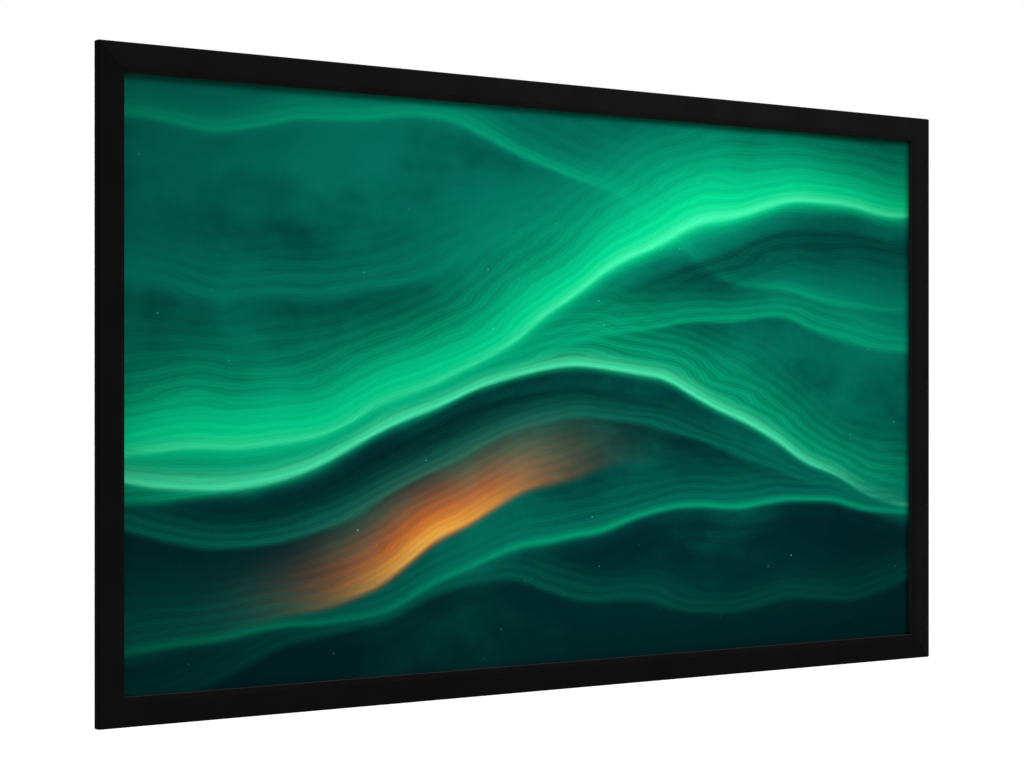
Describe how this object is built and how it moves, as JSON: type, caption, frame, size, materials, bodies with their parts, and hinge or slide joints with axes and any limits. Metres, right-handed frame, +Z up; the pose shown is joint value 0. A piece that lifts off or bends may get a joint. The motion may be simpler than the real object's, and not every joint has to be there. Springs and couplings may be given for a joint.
{
  "type": "fixed frame projector screen",
  "caption": "Wide wall-mounted projector screen: sheet of fabric stretched flat by springs inside a velvet covered aluminium border, with hook-on wall brackets.",
  "frame": {"origin": "centre of the whole screen's box, half way between the front face and the wall", "axes": "+X to the right seen from the front, +Y back towards the wall, +Z up; the picture faces -Y"},
  "size_m": [2.334, 0.034, 1.365],
  "materials": {
    "border_velvet": "black velvet flock, very low reflection, glued over the rails",
    "rail_aluminium": "black anodised extrusion, fine lines along its length",
    "screen_surface": "matte projection film with a black back; shows a soft green and teal image",
    "spring_steel": "bright drawn wire and rod",
    "zinc_steel": "zinc plated pressed steel",
    "screw_steel": "black oxide socket screws"
  },
  "bodies": {
    "root": {"top_rail_left": "rail_aluminium", "top_rail_right": "rail_aluminium", "bottom_rail_left": "rail_aluminium", "bottom_rail_right": "rail_aluminium", "left_stile": "rail_aluminium", "right_stile": "rail_aluminium", "top_rail_left_velvet": "border_velvet", "top_rail_right_velvet": "border_velvet", "bottom_rail_left_velvet": "border_velvet", "bottom_rail_right_velvet": "border_velvet", "left_stile_velvet": "border_velvet", "right_stile_velvet": "border_velvet", "screen_fabric": "screen_surface", "tension_rod_top": "spring_steel", "tension_rod_right": "spring_steel", "tension_rod_bottom": "spring_steel", "tension_rod_left": "spring_steel", "corner_plate_top_left": "zinc_steel", "corner_plate_top_right": "zinc_steel", "corner_plate_bottom_right": "zinc_steel", "corner_plate_bottom_left": "zinc_steel", "splice_plate_top": "zinc_steel", "splice_plate_bottom": "zinc_steel", "support_bar": "rail_aluminium", "support_bar_bracket_top": "zinc_steel", "support_bar_bracket_bottom": "zinc_steel", "wall_bracket_top_left": "zinc_steel", "wall_bracket_top_right": "zinc_steel", "wall_bracket_bottom_left": "zinc_steel", "wall_bracket_bottom_right": "zinc_steel", "corner_screw_top_left_1": "screw_steel", "corner_screw_top_left_2": "screw_steel", "corner_screw_top_left_3": "screw_steel", "corner_screw_top_left_4": "screw_steel", "corner_screw_top_right_1": "screw_steel", "corner_screw_top_right_2": "screw_steel", "corner_screw_top_right_3": "screw_steel", "corner_screw_top_right_4": "screw_steel", "corner_screw_bottom_right_1": "screw_steel", "corner_screw_bottom_right_2": "screw_steel", "corner_screw_bottom_right_3": "screw_steel", "corner_screw_bottom_right_4": "screw_steel", "corner_screw_bottom_left_1": "screw_steel", "corner_screw_bottom_left_2": "screw_steel", "corner_screw_bottom_left_3": "screw_steel", "corner_screw_bottom_left_4": "screw_steel", "splice_screw_top_1": "screw_steel", "splice_screw_top_2": "screw_steel", "splice_screw_top_3": "screw_steel", "splice_screw_top_4": "screw_steel", "splice_screw_bottom_1": "screw_steel", "splice_screw_bottom_2": "screw_steel", "splice_screw_bottom_3": "screw_steel", "splice_screw_bottom_4": "screw_steel", "support_bar_screw_top_1": "screw_steel", "support_bar_screw_top_2": "screw_steel", "support_bar_screw_bottom_1": "screw_steel", "support_bar_screw_bottom_2": "screw_steel"}
  },
  "joints": []
}
